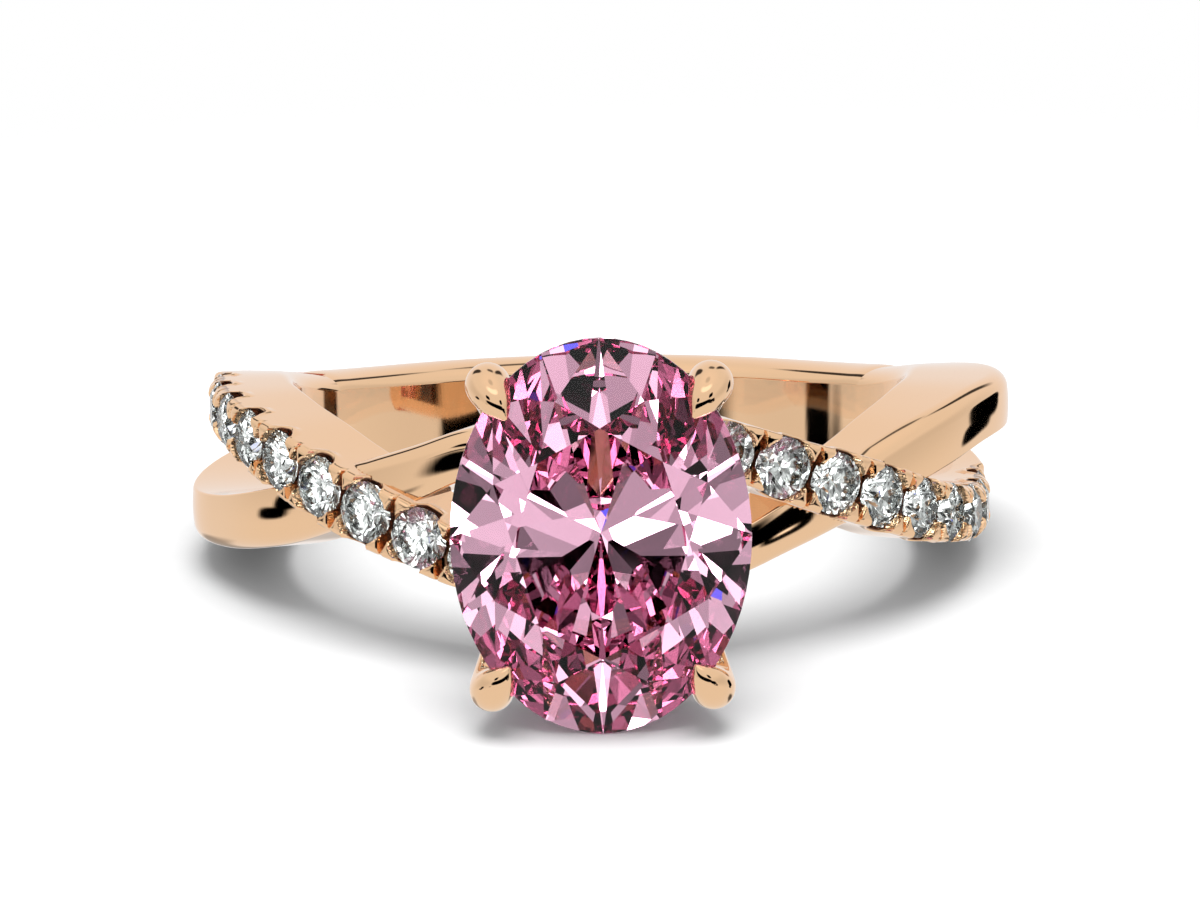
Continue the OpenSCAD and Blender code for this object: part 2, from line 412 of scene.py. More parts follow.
def around(angles, r, z):
    """Points at radius r and height z, at the angles round the finger, one row for each angle"""
    a = np.radians(angles)[:, None]
    return np.stack((r * np.sin(a), -r * np.cos(a), z), axis=-1)


def lofted(points, closed=False, creases=(), depth=None):
    """A closed skin over rings of points, all with the same number of places; depth, which sets the painted shade in
    cuts, is kept on the points
    """
    rings, places = points.shape[:2]
    steps = rings if closed else rings - 1
    bm = bmesh.new()
    bmesh.ops.create_grid(bm, x_segments=places, y_segments=steps, size=0.5)
    spot = {}
    layer = None if depth is None else bm.verts.layers.float.new(DEPTH)
    for vert in bm.verts:
        place = round((vert.co.x + 0.5) * places) % places
        ring = round((vert.co.y + 0.5) * steps) % rings
        spot[vert] = place
        vert.co = points[ring][place]
        if layer:
            vert[layer] = depth[ring][place]
    for edge in bm.edges:
        if spot[edge.verts[0]] == spot[edge.verts[1]] and spot[edge.verts[0]] in creases:
            edge.smooth = False
    bmesh.ops.remove_doubles(bm, verts=bm.verts[:], dist=1e-6)
    bmesh.ops.holes_fill(bm, edges=[edge for edge in bm.edges if edge.is_boundary], sides=0)
    bmesh.ops.recalc_face_normals(bm, faces=bm.faces[:])
    for face in bm.faces:
        face.smooth = True
    for edge in bm.edges:
        if edge.calc_face_angle(0) > SHARP:
            edge.smooth = False
    return bm


def as_mesh(name, bm):
    mesh = bpy.data.meshes.new(name)
    bm.to_mesh(mesh)
    bm.free()
    return mesh


def move_into(whole, part):
    """Joins one bmesh into another"""
    loose = as_mesh("part", part)
    whole.from_mesh(loose)
    bpy.data.meshes.remove(loose)


def add_object(name, data):
    made = bpy.data.objects.new(name, data)
    bpy.context.scene.collection.objects.link(made)
    return made


def add_piece(name, bm, material, node):
    """Puts a piece in its place in the shared frame, as what stands for a node of the CAD model"""
    bm.transform(lying())
    piece = add_object(name, as_mesh(name, bm))
    piece.data.materials.append(material)
    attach(piece, "root")
    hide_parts(node)
    return piece


def add_gold(name, bm, cuts=False):
    add_piece(name, bm, rose_gold(cuts), "mounting")


def corner(r, z, reach_r, reach_z, start):
    """A quarter of an ellipse round (r, z), in rows of radius and height"""
    turn = math.radians(start) + CORNER_TURNS
    r, z, reach_r, reach_z = (np.asarray(value)[:, None] for value in (r, z, reach_r, reach_z))
    return r + reach_r * np.cos(turn), z + reach_z * np.sin(turn)


def between(first, last, parts=FACE_PARTS):
    """Points on the straight line from one row of points' end to the next one's start"""
    r0, z0 = first[0][:, -1:], first[1][:, -1:]
    r1, z1 = last[0][:, :1], last[1][:, :1]
    return r0 + (r1 - r0) * parts, z0 + (z1 - z0) * parts


def inner_corners(inner, low, high, sizes):
    """The lower and upper corner of a bar's inner wall"""
    low_r, low_z = sizes["low"][2:]
    high_r, high_z = sizes["high"][2:]
    return (corner(inner + low_r, low + low_z, low_r, low_z, 180),
            corner(inner + high_r, high - high_z, high_r, high_z, 90))


def section(inner_low, outer_low, face, outer_high, inner_high):
    """Radius and height all round a bar, and the place where its outer face starts"""
    parts = [
        inner_low, between(inner_low, outer_low), outer_low, face, outer_high, between(outer_high, inner_high),
        inner_high, between(inner_high, inner_low),
    ]
    r, z = (np.concatenate([part[i] for part in parts], axis=1) for i in (0, 1))
    return r, z, sum(part[0].shape[1] for part in parts[:3])


def edge_sizes(angles, middle):
    """Sizes of the four corners: rounded on the side away from the mid plane, crisp on the other"""
    away = growing(middle, -SIDE_CHANGE / 2, SIDE_CHANGE)
    outer_r, outer_z, inner_r, inner_z = smooth_rows(EDGE_ROWS, np.abs(angles))
    sizes = {}
    for side, part in (("low", 1 - away), ("high", away)):
        sizes[side] = [CRISP + (value - CRISP) * part for value in (outer_r, outer_z, inner_r, inner_z)]
    return sizes


def bar_points(inner, outer, low, high, sizes, crown):
    """Rings of a bar with rounded corners and a slightly domed outer face, and the places of its two outer lines"""
    low_r, low_z = sizes["low"][:2]
    high_r, high_z = sizes["high"][:2]
    inner_low, inner_high = inner_corners(np.full_like(outer, inner), low, high, sizes)
    outer_low = corner(outer - low_r, low + low_z, low_r, low_z, 270)
    outer_high = corner(outer - high_r, high - high_z, high_r, high_z, 0)
    face_r, face_z = between(outer_low, outer_high, BAR_PARTS)
    face = face_r + crown * (1 - (2 * BAR_PARTS - 1) ** 2), face_z
    r, z, start = section(inner_low, outer_low, face, outer_high, inner_high)
    return r, z, (start - 1, start + len(BAR_PARTS))


def strand_lines(angles, side):
    """Middle, half width and outer radius of a strand; side is 1 for the plain one, -1 for the paved one"""
    columns = smooth_rows(STRAND_ROWS, np.abs(angles))
    middle = side * np.sign(angles) * columns[MIDDLE]
    return middle, columns[PLAIN_HALF if side > 0 else PAVED_HALF], columns[PLAIN_R]


def pave_places():
    """The small stones: angle, middle, radius, and slope of the strand there"""
    angles = np.array([row[0] for row in PAVE_ROWS])
    middles = smooth_rows(STRAND_ROWS, angles)[MIDDLE]
    ahead = smooth_rows(STRAND_ROWS, angles + 1)[MIDDLE]
    return angles, middles, np.array([row[1] for row in PAVE_ROWS]), ahead - middles


def paved_face(angles, across, middle, half, top, sizes, settings):
    """Radius of the paved strand's outer face: seats, split posts between the stones and a scallop at each stone"""
    girdle = in_mm(settings, "pave_girdle")
    degree = math.radians(1) * girdle
    stones, stone_middles, stone_radii, slopes = pave_places()
    run = np.abs(angles)[:, None] * degree
    height = -np.sign(angles)[:, None] * (middle[:, None] + across)
    gaps, alongs = [], []
    for angle, stone_middle, radius, slope in zip(stones, stone_middles, stone_radii, slopes):
        along, beside = run - angle * degree, height - stone_middle
        tilt = math.atan2(slope, degree)
        gaps.append(np.hypot(along, beside) - radius)
        alongs.append(np.abs(along * math.cos(tilt) + beside * math.sin(tilt)))
    order = np.argsort(gaps, axis=0)
    near = np.take_along_axis(np.array(gaps), order, 0)
    along = np.take_along_axis(np.array(alongs), order, 0)[0]
    from_edge = half[:, None] - np.abs(across)
    from_middle_line = (near[1] - near[0]) / 2
    outside = near[0]

    scallop = in_mm(settings, "scallop") * np.sqrt(np.clip(1 - (along / SCALLOP_HALF) ** 2, 0, 1))
    post = growing(along, POST_FROM, POST_RISE)
    wall = WALL_GAP - POST_LEAN * post
    notch_half = NOTCH_TAPER * np.clip(from_edge - NOTCH_INSIDE, 0, NOTCH_REACH)
    prong_edge = np.minimum(outside - wall, from_middle_line - notch_half)
    post_round = POST_ROUND + POST_ROUND_MORE * growing(np.abs(angles)[:, None], *POSTS_ROUNDER)
    metal = top[:, None] - FACE_DROP - scallop - round_off(prong_edge, PRONG_ROUND)
    metal -= round_off(from_edge, post_round) * (EDGE_SHARE + (1 - EDGE_SHARE) * post)
    floor = np.minimum(metal, top[:, None] - in_mm(settings, "notch"))
    seat = np.maximum(np.minimum(metal, SEAT_R) - SEAT_SLOPE * np.clip(-outside, 0, 1), SEAT_FLOOR_R)
    paved = metal + (floor - metal) * cut_in(notch_half - from_middle_line)
    paved += (seat - paved) * cut_in(wall - outside)

    # Where it isn't paved, the face has the rounded edges alone
    plain = top[:, None] * np.ones_like(across)
    for side, sign in (("low", -1), ("high", 1)):
        reach_r, reach_z = (value[:, None] for value in sizes[side][:2])
        inside = np.clip(1 - (half[:, None] - sign * across) / reach_z, 0, 1)
        plain -= reach_r * (1 - np.sqrt(1 - inside ** 2))
    beyond = growing(np.abs(angles), *BACK_END) + shrinking(np.abs(angles), *FRONT_END)
    near_stone = [(1 - beyond) * ease(LIP_NEAR - along[:, column] / LIP_FADE) for column in (0, -1)]
    return paved + (plain - paved) * beyond[:, None], near_stone


def paved_points(settings):
    """Rings of the paved strand, and how deep in a cut each of their points lies, for the painted shade in its cuts"""
    end = math.degrees(settings.strand_end)
    half_way = np.concatenate((
        np.arange(FRONT_STEP, FINE_START, FRONT_STEP), np.arange(FINE_START, FINE_END, FINE_STEP),
        np.arange(BACK_START, end, BACK_STEP), [end]))
    angles = np.concatenate((-half_way[::-1], [0], half_way))
    from_front = np.abs(angles)
    middle, half, plain_r = strand_lines(angles, -1)
    top = in_mm(settings, "paved_top")
    top = top + (plain_r - top - TOP_UNDER) * growing(from_front, *TOP_SINKS)
    t = np.linspace(-1, 1, FACE_POINTS)
    across = half[:, None] * (FACE_EVEN * t + (1 - FACE_EVEN) * np.sin(np.pi / 2 * t))
    sizes = edge_sizes(angles, middle)
    for side in sizes.values():
        for i in (0, 1):
            side[i] = PAVED_EDGE + (side[i] - PAVED_EDGE) * growing(from_front, *EDGE_GROWS)
    face_r, near_stone = paved_face(angles, across, middle, half, top, sizes, settings)
    inner = np.full_like(half, HOLE_R + PAVED_BEHIND)
    inner_low, inner_high = inner_corners(inner, middle - half, middle + half, sizes)
    face = face_r, middle[:, None] + across
    down = np.linspace(1, 0, LIP_ROWS, endpoint=False)
    lips = []
    for side, column in ((-1, 0), (1, -1)):
        bulge = LIP_BULGE * np.sin(np.pi * (1 - down) ** LIP_BULGE_POWER) * near_stone[column][:, None]
        r = face_r[:, column][:, None] - LIP_DEPTH * down ** LIP_ROW_POWER
        z = (middle + side * half)[:, None] + side * bulge
        lips.append((r, z) if side < 0 else (r[:, ::-1], z[:, ::-1]))
    r, z, start = section(inner_low, lips[0], face, lips[1], inner_high)
    # Painted shade: how deep each point of the face lies in a cut, which darkens the gold there, fading out towards the
    # back
    depth = np.zeros_like(r)
    depth[:, start:start + FACE_POINTS] = growing(top[:, None] - face_r, DEPTH_FROM, DEPTH_RUN)
    depth *= shrinking(from_front, *CUT_SHADE_END)[:, None]
    return around(angles, r, z), depth


def brilliant(length, width, crown, pavilion, girdle, table, sides=64):
    """A brilliant cut with 57 facets on a round or oval outline, its girdle on the XY plane and its table up"""
    star_h = girdle / 2 + crown * (1 - STAR * math.cos(CUT_TURN)) / (1 - table)
    lower_h = -girdle / 2 - pavilion * (1 - LOWER * math.cos(CUT_TURN))
    chord = math.cos(CUT_TURN / 2)
    crown_slope = (star_h - girdle / 2) / (chord * (1 - STAR))
    pavilion_slope = (-girdle / 2 - lower_h) / (chord * (1 - LOWER))
    corners = [(0, 0, -girdle / 2 - pavilion)]
    for k in range(8):
        for part, turn, h in ((table, 0, girdle / 2 + crown), (STAR, CUT_TURN, star_h), (LOWER, CUT_TURN, lower_h)):
            a = 2 * CUT_TURN * k + turn
            corners.append((part * math.cos(a), part * math.sin(a), h))
    for k in range(sides):
        a = 2 * math.pi * k / sides
        drop = math.cos((a % CUT_TURN) - CUT_TURN / 2) - chord
        corners.append((math.cos(a), math.sin(a), girdle / 2 - drop * crown_slope))
        corners.append((math.cos(a), math.sin(a), -girdle / 2 + drop * pavilion_slope))
    bm = bmesh.new()
    for x, y, z in corners:
        bm.verts.new((x * width / 2, y * length / 2, z))
    bmesh.ops.convex_hull(bm, input=bm.verts[:], use_existing_faces=False)
    bmesh.ops.dissolve_limit(bm, angle_limit=ONE_FACET, verts=bm.verts[:], edges=bm.edges[:])
    bmesh.ops.recalc_face_normals(bm, faces=bm.faces[:])
    back = bm.faces.layers.int.new("back")
    for face in bm.faces:
        face[back] = int(face.calc_center_median().z < BACK_FROM * girdle)
    return bm


def tube_points(route, radii, sideways, sides=32):
    """Rings round a route, for a wire or a claw"""
    forward = np.gradient(route, axis=0)
    forward /= np.linalg.norm(forward, axis=1)[:, None]
    across = np.cross(sideways, forward)
    across /= np.linalg.norm(across, axis=1)[:, None]
    side = np.cross(forward, across)
    turn = np.linspace(0, 2 * np.pi, sides, endpoint=False)
    round_way = side[:, None] * np.cos(turn)[None, :, None] + across[:, None] * np.sin(turn)[None, :, None]
    return route[:, None] + radii[:, None, None] * round_way


def add_group(name, inputs, outputs):
    """An empty node group with its sockets, what it is given, and its output node"""
    group = bpy.data.node_groups.new(name, "ShaderNodeTree")
    for socket, kind, default in inputs:
        made = group.interface.new_socket(socket, in_out="INPUT", socket_type=kind)
        if default is not None:
            made.default_value = default
    for socket, kind in outputs:
        group.interface.new_socket(socket, in_out="OUTPUT", socket_type=kind)
    return group, group.nodes.new("NodeGroupInput").outputs, group.nodes.new("NodeGroupOutput")


def feed(node, links):
    """Sets a node's inputs to values, or links them from sockets"""
    for socket, value in links.items():
        if isinstance(value, bpy.types.NodeSocket):
            node.id_data.links.new(value, node.inputs[socket])
        else:
            node.inputs[socket].default_value = value


def node_in(tree, kind, links=None, **settings):
    """A node with its settings and what its inputs are fed"""
    node = tree.nodes.new(kind)
    for name, value in settings.items():
        setattr(node, name, value)
    feed(node, links or {})
    return node


def math_in(tree, operation, *values):
    """A Math node's result from its values or sockets"""
    return node_in(tree, "ShaderNodeMath", dict(enumerate(values)), operation=operation).outputs[0]


def mix_colours(tree, factor, first, second):
    links = {"Factor": factor, "A": first, "B": second}
    return node_in(tree, "ShaderNodeMix", links, data_type="RGBA").outputs["Result"]


def mix_vectors(tree, factor, first, second):
    """The vector sockets of a Mix node share their names with others, so they are taken by number"""
    return node_in(tree, "ShaderNodeMix", {0: factor, 4: first, 5: second}, data_type="VECTOR").outputs[1]


def polish_group():
    """Fine hairlines and soft clouds of handling on a polished surface"""
    name = "Polish"
    if name in bpy.data.node_groups:
        return bpy.data.node_groups[name]
    group, given, outside = add_group(
        name,
        (("Vector", "NodeSocketVector", None), ("Roughness", "NodeSocketFloat", 0.04),
         ("Clouds", "NodeSocketFloat", 0.03)),
        (("Roughness", "NodeSocketFloat"), ("Height", "NodeSocketFloat")))
    clouds = node_in(group, "ShaderNodeTexNoise", {"Vector": given["Vector"], "Scale": 420, "Detail": 3})
    stretched = node_in(group, "ShaderNodeMapping", {
        "Vector": given["Vector"], "Scale": (9000, 9000, 600), "Rotation": (0.5, 0.3, 0)})
    hairs = node_in(group, "ShaderNodeTexNoise", {"Vector": stretched.outputs["Vector"], "Scale": 1, "Detail": 2})
    span = node_in(group, "ShaderNodeMapRange", {
        "Value": clouds.outputs["Fac"], "From Min": 0.35, "From Max": 0.75, "To Min": 0.0, "To Max": given["Clouds"]})
    total = math_in(group, "ADD", given["Roughness"], span.outputs["Result"])
    feed(outside, {"Roughness": total, "Height": hairs.outputs["Fac"]})
    return group


def tone_group():
    """Slight zones of a deeper tone in a finish's colour"""
    name = "Tone zones"
    if name in bpy.data.node_groups:
        return bpy.data.node_groups[name]
    group, given, outside = add_group(
        name,
        (("Vector", "NodeSocketVector", None), ("Pale", "NodeSocketColor", None), ("Deep", "NodeSocketColor", None),
         ("Scale", "NodeSocketFloat", 250)),
        (("Color", "NodeSocketColor"),))
    zones = node_in(group, "ShaderNodeTexNoise", {"Vector": given["Vector"], "Scale": given["Scale"], "Detail": 1})
    feed(outside, {"Color": mix_colours(group, zones.outputs["Fac"], given["Pale"], given["Deep"])})
    return group


def new_material(name):
    """An empty material with a Principled shader, its output and object coordinates"""
    material = bpy.data.materials.new(name)
    material.use_nodes = True
    tree = material.node_tree
    tree.nodes.clear()
    shader = node_in(tree, "ShaderNodeBsdfPrincipled")
    output = node_in(tree, "ShaderNodeOutputMaterial", {"Surface": shader.outputs["BSDF"]})
    coordinates = node_in(tree, "ShaderNodeTexCoord")
    return material, tree, shader, output, coordinates.outputs["Object"]


def see_through(tree, shader, output, share):
    """Leaves out a share of the surface"""
    clear = node_in(tree, "ShaderNodeBsdfTransparent")
    mix = node_in(tree, "ShaderNodeMixShader", {0: share, 1: shader.outputs["BSDF"], 2: clear.outputs["BSDF"]})
    feed(output, {"Surface": mix.outputs[0]})


def toned(tree, place, pale, deep, **more):
    """A colour with slight zones of a deeper tone"""
    links = {"Vector": place, "Pale": pale, "Deep": deep, **more}
    return node_in(tree, "ShaderNodeGroup", links, node_tree=tone_group()).outputs["Color"]


def rose_gold(cuts):
    """Polished gold; with cuts, painted shade darkens its deep places and it keeps more of its own reflections"""
    name = "Rose gold with painted cut shade" if cuts else "Rose gold"
    if name in bpy.data.materials:
        return bpy.data.materials[name]
    settings = bpy.context.scene.ring_finishes
    material, tree, shader, output, place = new_material(name)
    polish = node_in(tree, "ShaderNodeGroup", {
        "Vector": place, "Roughness": settings.gold_roughness, "Clouds": 0.03}, node_tree=polish_group())
    bump = node_in(tree, "ShaderNodeBump", {"Height": polish.outputs["Height"], "Strength": 0.02, "Distance": 2e-5})
    gold = Vector(settings.gold)
    colour = toned(tree, place, (*gold, 1), (*(gold * DEEPER), 1))
    if cuts:
        # Painted shade: the deeper a point lies in a cut, the more its colour goes towards the dark cut shade
        under = node_in(tree, "ShaderNodeAttribute", attribute_name=DEPTH)
        colour = mix_colours(tree, math_in(tree, "MULTIPLY", under.outputs["Fac"], CUT_SHADE_SHARE), colour, CUT_SHADE)
    ray = node_in(tree, "ShaderNodeLightPath")
    colour = mix_colours(tree, ray.outputs["Is Diffuse Ray"], colour, DULL_GOLD)
    feed(shader, {
        "Base Color": colour, "Metallic": 1, "Roughness": polish.outputs["Roughness"],
        "Normal": bump.outputs["Normal"]})
    share = settings.open_in_cuts if cuts else settings.open_reflections
    see_through(tree, shader, output, math_in(tree, "MULTIPLY", ray.outputs["Is Glossy Ray"], share))
    return material


def gem(name, pale, deep, ior, density, body):
    """A clear stone: glass with slight zones of colour, deepening with the light's path"""
    material, tree, shader, output, place = new_material(name)
    feed(shader, {
        "Base Color": toned(tree, place, (*pale, 1), (*deep, 1)), "Transmission Weight": 1, "Roughness": 0, "IOR": ior,
        "Specular Tint": FACET_MIRROR})
    if density:
        absorb = node_in(tree, "ShaderNodeVolumeAbsorption", {"Color": (*body, 1), "Density": density})
        feed(output, {"Volume": absorb.outputs["Volume"]})
    return material


def bright_back():
    """The small stones' pavilions, which throw the light back out of their tables"""
    material, tree, shader, _, place = new_material("Stone back")
    colour = toned(tree, place, BACK_PALE, BACK_DEEP, Scale=BACK_ZONES)
    feed(shader, {"Base Color": colour, "Metallic": 1, "Roughness": BACK_ROUGHNESS})
    return material


class RING_OT_band(bpy.types.Operator):
    """Adds the plain band at the back of the finger"""
    bl_idname = "ring.band"
    bl_label = "Band"

    def execute(self, context):
        first = BAND_ROWS[0][0]
        angles = np.arange(first, 360 - first + BAND_STEP / 2, BAND_STEP)
        from_front = np.minimum(angles, 360 - angles)
        rows = BAND_ROWS + tuple((360 - row[0], *row[1:]) for row in BAND_ROWS[-2::-1])
        half, outer = smooth_rows(rows, angles)
        edge = smooth_rows(EDGE_ROWS, from_front)
        sizes = {"low": list(edge), "high": list(edge)}
        r, z, _ = bar_points(HOLE_R + BAND_BEHIND, outer, -half, half, sizes, 0)
        add_gold("band", lofted(around(angles, r, z)))
        return {"FINISHED"}


class RING_OT_plain_strand(bpy.types.Operator):
    """Adds the plain strand, high at the right shoulder"""
    bl_idname = "ring.plain_strand"
    bl_label = "Plain strand"

    def execute(self, context):
        settings = context.scene.ring_sizes
        end = math.degrees(settings.strand_end)
        angles = np.linspace(-end, end, PLAIN_RINGS)
        middle, half, outer = strand_lines(angles, 1)
        sizes = edge_sizes(angles, middle)
        crown = in_mm(settings, "crown")
        r, z, creases = bar_points(HOLE_R, outer - crown, middle - half, middle + half, sizes, crown)
        over_middle, over_half, _ = strand_lines(angles, -1)
        under = shrinking(np.abs(z - over_middle[:, None]), over_half[:, None] - UNDER_INSIDE, UNDER_SLOPE)
        r -= np.clip(r - UNDER_R, 0, None) * under
        add_gold("plain_strand", lofted(around(angles, r, z), creases=creases))
        return {"FINISHED"}


class RING_OT_paved_strand(bpy.types.Operator):
    """Adds the paved strand with its seats, split posts and scallops"""
    bl_idname = "ring.paved_strand"
    bl_label = "Paved strand"

    def execute(self, context):
        points, depth = paved_points(context.scene.ring_sizes)
        add_gold("paved_strand", lofted(points, depth=depth), cuts=True)
        return {"FINISHED"}


class RING_OT_head(bpy.types.Operator):
    """Adds the four claws and the oval rails under the centre stone"""
    bl_idname = "ring.head"
    bl_label = "Claws and rails"

    def execute(self, context):
        stone = context.scene.ring_stone
        rise, length, width = (in_mm(stone, name) for name in ("girdle_rise", "length", "width"))
        rows = [(i, *row) for i, row in enumerate(CLAW_ROWS)]
        steps = np.linspace(0, len(CLAW_ROWS) - 1, CLAW_RINGS)
        across, along, over, radii = smooth_rows(rows, steps)
        claws = bmesh.new()
        for x in (1, -1):
            for z in (1, -1):
                route = np.stack((x * across, -(rise + over), z * along), axis=-1)
                move_into(claws, lofted(tube_points(route, radii, (length * x, 0, -width * z))))
        add_gold("claws", claws)
        turn = np.linspace(0, 2 * np.pi, RAIL_RINGS)
        for number, (drop, part) in enumerate(RAIL_ROWS, 1):
            route = np.stack((part * width / 2 * np.cos(turn), -(rise + drop) + 0 * turn,
                              part * length / 2 * np.sin(turn)), axis=-1)
            radii = np.full(len(turn), in_mm(stone, "rail_r"))
            rings = tube_points(route, radii, (0, 1, 0), RAIL_SIDES)[:-1]
            add_gold(f"rail_{number}", lofted(rings, closed=True))
        return {"FINISHED"}


class RING_OT_centre_stone(bpy.types.Operator):
    """Adds the oval centre stone"""
    bl_idname = "ring.centre_stone"
    bl_label = "Centre stone"

    def execute(self, context):
        stone = context.scene.ring_stone
        finish = context.scene.ring_finishes
        rise, length, width, girdle = (in_mm(stone, name) for name in ("girdle_rise", "length", "width", "girdle"))
        bm = brilliant(length, width, stone.crown * width, stone.pavilion * width, girdle, stone.table)
        up = Matrix(((1, 0, 0), (0, 0, -1), (0, 1, 0))).to_4x4()
        bm.transform(Matrix.Translation((0, -rise, 0)) @ up)
        material = gem("Pink stone", PINK_PALE, PINK_DEEP, PINK_IOR, finish.stone_density, finish.stone)
        add_piece("centre_stone_cut", bm, material, "centre_stone")
        return {"FINISHED"}


class RING_OT_small_stones(bpy.types.Operator):
    """Adds the eighteen small stones on the paved strand"""
    bl_idname = "ring.small_stones"
    bl_label = "Small stones"

    def execute(self, context):
        girdle_r = in_mm(context.scene.ring_sizes, "pave_girdle")
        finish = context.scene.ring_finishes
        angles, middles, radii, _ = pave_places()
        stones = bmesh.new()
        for side in (-1, 1):
            for number, (angle, middle, radius) in enumerate(zip(angles, middles, radii)):
                cut = brilliant(2 * radius, 2 * radius, SMALL_CROWN * radius, SMALL_PAVILION * radius,
                                SMALL_GIRDLE * radius, SMALL_TABLE, SMALL_SIDES)
                turn = math.radians(side * angle)
                out = Vector((math.sin(turn), -math.cos(turn), 0))
                beside = Vector((0, 0, 1))
                seat = Matrix((beside.cross(out), beside, out)).transposed().to_4x4()
                place = Matrix.Translation(out * girdle_r - beside * float(side * middle))
                cut.transform(place @ seat @ Matrix.Rotation(number * SMALL_TURN + side, 4, "Z"))
                move_into(stones, cut)
        clear = Vector(finish.small_stone)
        material = gem("Clear stone", clear, clear * DEEPER, CLEAR_IOR, 0, clear)
        piece = add_piece("small_stones", stones, material, "mounting")
        piece.data.materials.append(bright_back())
        backs = piece.data.attributes["back"].data
        for face in piece.data.polygons:
            face.material_index = backs[face.index].value
        return {"FINISHED"}


def card_group():
    """One soft card of the studio: lays its brightness over the surroundings at a bearing and a height"""
    group, given, outside = add_group(
        "Studio card",
        [(name, "NodeSocketFloat", 0.0) for name in (
            "Bearing", "Height", "Card bearing", "Card height", "Half width", "Half height", "Soft")]
        + [(name, "NodeSocketVector", None) for name in ("Light", "Behind")],
        (("Light", "NodeSocketVector"),))

    parts = []
    for look, card, half in (("Bearing", "Card bearing", "Half width"), ("Height", "Card height", "Half height")):
        away = math_in(group, "SUBTRACT", given[look], given[card])
        away = math_in(group, "ABSOLUTE", math_in(group, "WRAP", away, 180.0, -180.0))
        parts.append(math_in(group, "POWER", math_in(group, "DIVIDE", away, given[half]), CARD_CORNER))
    reach = math_in(group, "POWER", math_in(group, "ADD", *parts), 1 / CARD_CORNER)
    smaller = math_in(group, "MINIMUM", given["Half width"], given["Half height"])
    past = math_in(group, "MULTIPLY", math_in(group, "SUBTRACT", 1.0, reach), smaller)
    soft = math_in(group, "DIVIDE", past, given["Soft"])
    edge = node_in(group, "ShaderNodeMapRange", {"Value": soft, "From Min": -0.5, "From Max": 0.5},
                   interpolation_type="SMOOTHSTEP")
    feed(outside, {"Light": mix_vectors(group, edge.outputs["Result"], given["Behind"], given["Light"])})
    return group


def studio_world(settings):
    """Soft cards that the metal reflects, lights that the stones see, and an even light for all else"""
    world = bpy.data.worlds.new("Studio")
    world.use_nodes = True
    tree = world.node_tree
    tree.nodes.clear()
    place = node_in(tree, "ShaderNodeTexCoord")
    way = node_in(tree, "ShaderNodeSeparateXYZ", {"Vector": place.outputs["Generated"]})

    toward = math_in(tree, "MULTIPLY", way.outputs["Y"], -1.0)
    bearing = math_in(tree, "DEGREES", math_in(tree, "ARCTAN2", way.outputs["X"], toward))
    height = math_in(tree, "DEGREES", math_in(tree, "ARCSINE", way.outputs["Z"]))
    group = card_group()

    def laid(cards, behind):
        """The cards, laid over what is behind them"""
        for card_bearing, card_height, half_width, half_height, soft, light in cards:
            values = {
                "Bearing": bearing, "Height": height, "Card bearing": card_bearing, "Card height": card_height,
                "Half width": half_width, "Half height": half_height, "Soft": soft, "Behind": behind,
                "Light": light if isinstance(light, tuple) else (light,) * 3,
            }
            behind = node_in(tree, "ShaderNodeGroup", values, node_tree=group).outputs["Light"]
        return behind

    def sparks():
        """Lights in the cells of a pattern, each picked from the ramp"""
        near = node_in(tree, "ShaderNodeMapping", {"Vector": place.outputs["Generated"], "Location": SPARK_SHIFT})
        cell = node_in(tree, "ShaderNodeTexVoronoi", {"Vector": near.outputs["Vector"], "Scale": settings.spark_scale})
        pick = node_in(tree, "ShaderNodeSeparateColor", {"Color": cell.outputs["Color"]})
        ramp = node_in(tree, "ShaderNodeValToRGB", {"Fac": pick.outputs["Red"]})
        ramp.color_ramp.interpolation = "CONSTANT"
        brightest = max(max(light) for _, light in SPARKS)
        first = 0
        for i, (share, light) in enumerate(SPARKS):
            stop = ramp.color_ramp.elements[i] if i < 2 else ramp.color_ramp.elements.new(first)
            stop.position = first
            stop.color = (*(part / brightest for part in light), 1)
            first += share
        return node_in(tree, "ShaderNodeVectorMath", {0: ramp.outputs["Color"], "Scale": brightest},
                       operation="SCALE").outputs["Vector"]

    ray = node_in(tree, "ShaderNodeLightPath")
    dull = (settings.surround * settings.floor_light,) * 3
    seen = laid(METAL_CARDS, (settings.surround,) * 3)
    for kind, light in (("Transmission", laid(STONE_CARDS, sparks())), ("Diffuse", dull), ("Camera", (1, 1, 1))):
        seen = mix_vectors(tree, ray.outputs[f"Is {kind} Ray"], seen, light)
    background = node_in(tree, "ShaderNodeBackground", {"Color": seen})
    node_in(tree, "ShaderNodeOutputWorld", {"Surface": background.outputs[0]})
    return world


def add_floor():
    """A pale dull floor that fades away, and that neither the metal nor the stones show"""
    bm = bmesh.new()
    bmesh.ops.create_circle(bm, cap_ends=True, segments=96, radius=FLOOR_R)
    floor = add_object("floor", as_mesh("floor", bm))
    material, tree, shader, output, place = new_material("Pale floor")
    grain = node_in(tree, "ShaderNodeTexNoise", {"Vector": place, "Scale": 900, "Detail": 4})
    colour = mix_colours(tree, grain.outputs["Fac"], FLOOR_DEEP, FLOOR_PALE)
    feed(shader, {"Base Color": colour, "Roughness": 0.9, "Specular IOR Level": 0})
    away = node_in(tree, "ShaderNodeVectorMath", {0: place}, operation="LENGTH")
    fade = node_in(tree, "ShaderNodeMapRange", {
        "Value": away.outputs["Value"], "From Min": FLOOR_FADE, "From Max": FLOOR_GONE},
        interpolation_type="SMOOTHSTEP")
    see_through(tree, shader, output, fade.outputs["Result"])
    floor.data.materials.append(material)
    floor.visible_glossy = False
    floor.visible_transmission = False


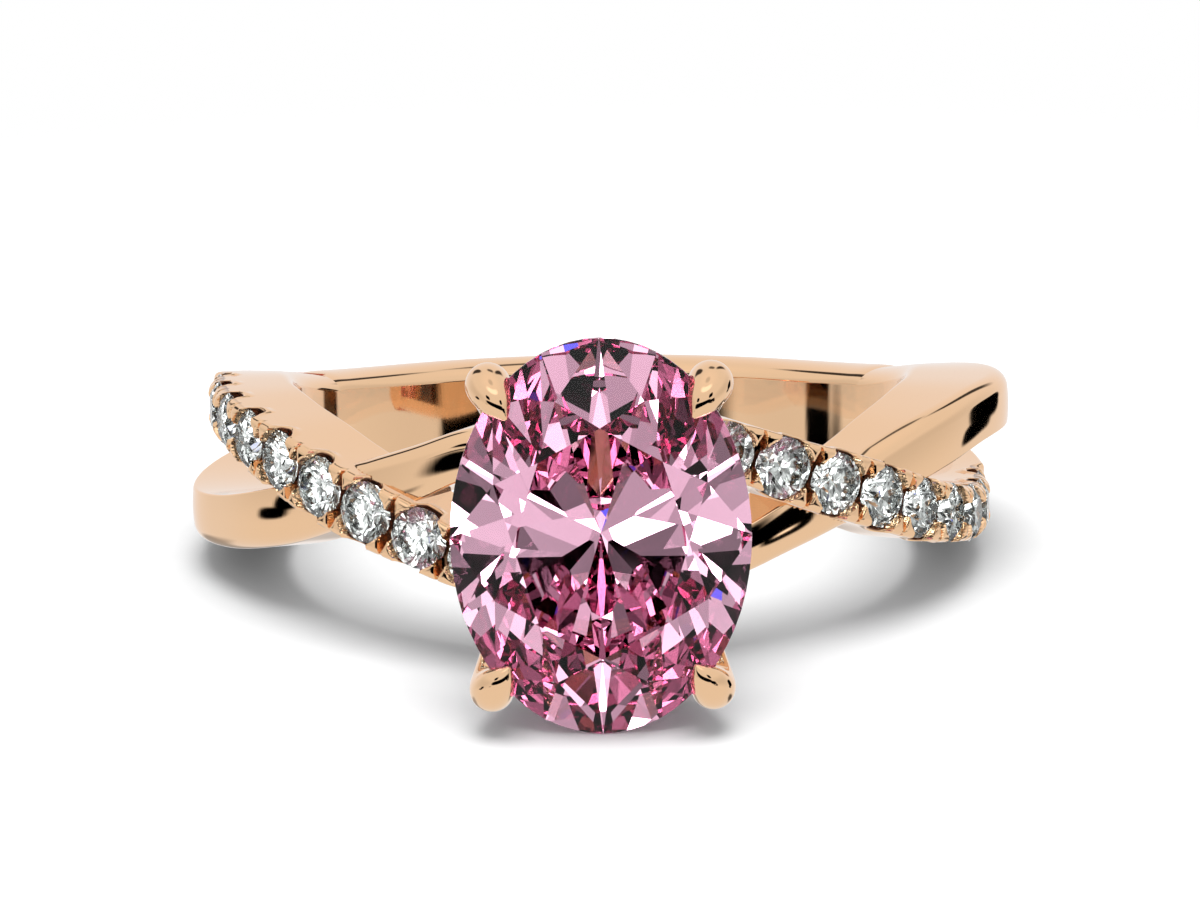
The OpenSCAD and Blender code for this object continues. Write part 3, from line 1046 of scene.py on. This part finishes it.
def add_camera(settings):
    """The camera, which looks at the middle of the finger hole"""
    data = bpy.data.cameras.new("Camera")
    data.lens = settings.lens
    data.sensor_width = 36
    data.clip_start, data.clip_end = 0.005, 10
    camera = add_object("Camera", data)
    look = Vector((0, -math.cos(settings.elevation), math.sin(settings.elevation)))
    turn = look.to_track_quat("Z", "Y").to_matrix().to_4x4() @ Matrix.Rotation(settings.roll, 4, "Z")
    camera.matrix_world = Matrix.Translation(Vector(HOLE["pos_m"]) + look * settings.distance) @ turn
    bpy.context.scene.camera = camera


def add_light(name, bearing, height, distance, size, power):
    """A round soft light that neither the metal nor the stones show"""
    data = bpy.data.lights.new(name, "AREA")
    data.shape = "DISK"
    data.size = size
    data.energy = power
    light = add_object(name, data)
    bearing, height = math.radians(bearing), math.radians(height)
    way = Vector((math.sin(bearing) * math.cos(height), -math.cos(bearing) * math.cos(height), math.sin(height)))
    light.matrix_world = Matrix.Translation(way * distance) @ way.to_track_quat("Z", "Y").to_matrix().to_4x4()
    light.visible_glossy = False
    light.visible_transmission = False


class RING_OT_stage(bpy.types.Operator):
    """Adds the pale floor, the soft studio light and the camera"""
    bl_idname = "ring.stage"
    bl_label = "Stage"

    def execute(self, context):
        settings = context.scene.ring_stage
        context.scene.world = studio_world(settings)
        add_floor()
        add_camera(settings)
        add_light("Top light", *TOP_LIGHT)
        context.scene.view_settings.view_transform = "Standard"
        context.scene.cycles.max_bounces = BOUNCES
        context.scene.cycles.glossy_bounces = METAL_BOUNCES
        context.scene.cycles.transmission_bounces = STONE_BOUNCES
        return {"FINISHED"}


class RING_PT_parts(bpy.types.Panel):
    """The ring's pieces and their settings"""
    bl_idname = "RING_PT_parts"
    bl_label = "Crossover ring"
    bl_space_type = "VIEW_3D"
    bl_region_type = "UI"
    bl_category = "Ring"

    def draw(self, context):
        layout = self.layout
        for name, group in GROUPS.items():
            box = layout.box()
            for setting in group.__annotations__:
                box.prop(getattr(context.scene, name), setting)
        for operator in STEPS:
            layout.operator(operator.bl_idname)


STEPS = (
    RING_OT_band, RING_OT_plain_strand, RING_OT_paved_strand, RING_OT_head, RING_OT_centre_stone,
    RING_OT_small_stones, RING_OT_stage,
)
CLASSES = (*GROUPS.values(), *STEPS, RING_PT_parts)


def register():
    for cls in CLASSES:
        bpy.utils.register_class(cls)
    for name, group in GROUPS.items():
        setattr(bpy.types.Scene, name, PointerProperty(type=group))


def unregister():
    for name in GROUPS:
        delattr(bpy.types.Scene, name)
    for cls in reversed(CLASSES):
        bpy.utils.unregister_class(cls)


def main():
    register()
    bpy.ops.ring.band()
    bpy.ops.ring.plain_strand()
    bpy.ops.ring.paved_strand()
    bpy.ops.ring.head()
    bpy.ops.ring.centre_stone()
    bpy.ops.ring.small_stones()
    bpy.ops.ring.stage()


if __name__ == "__main__":
    main()
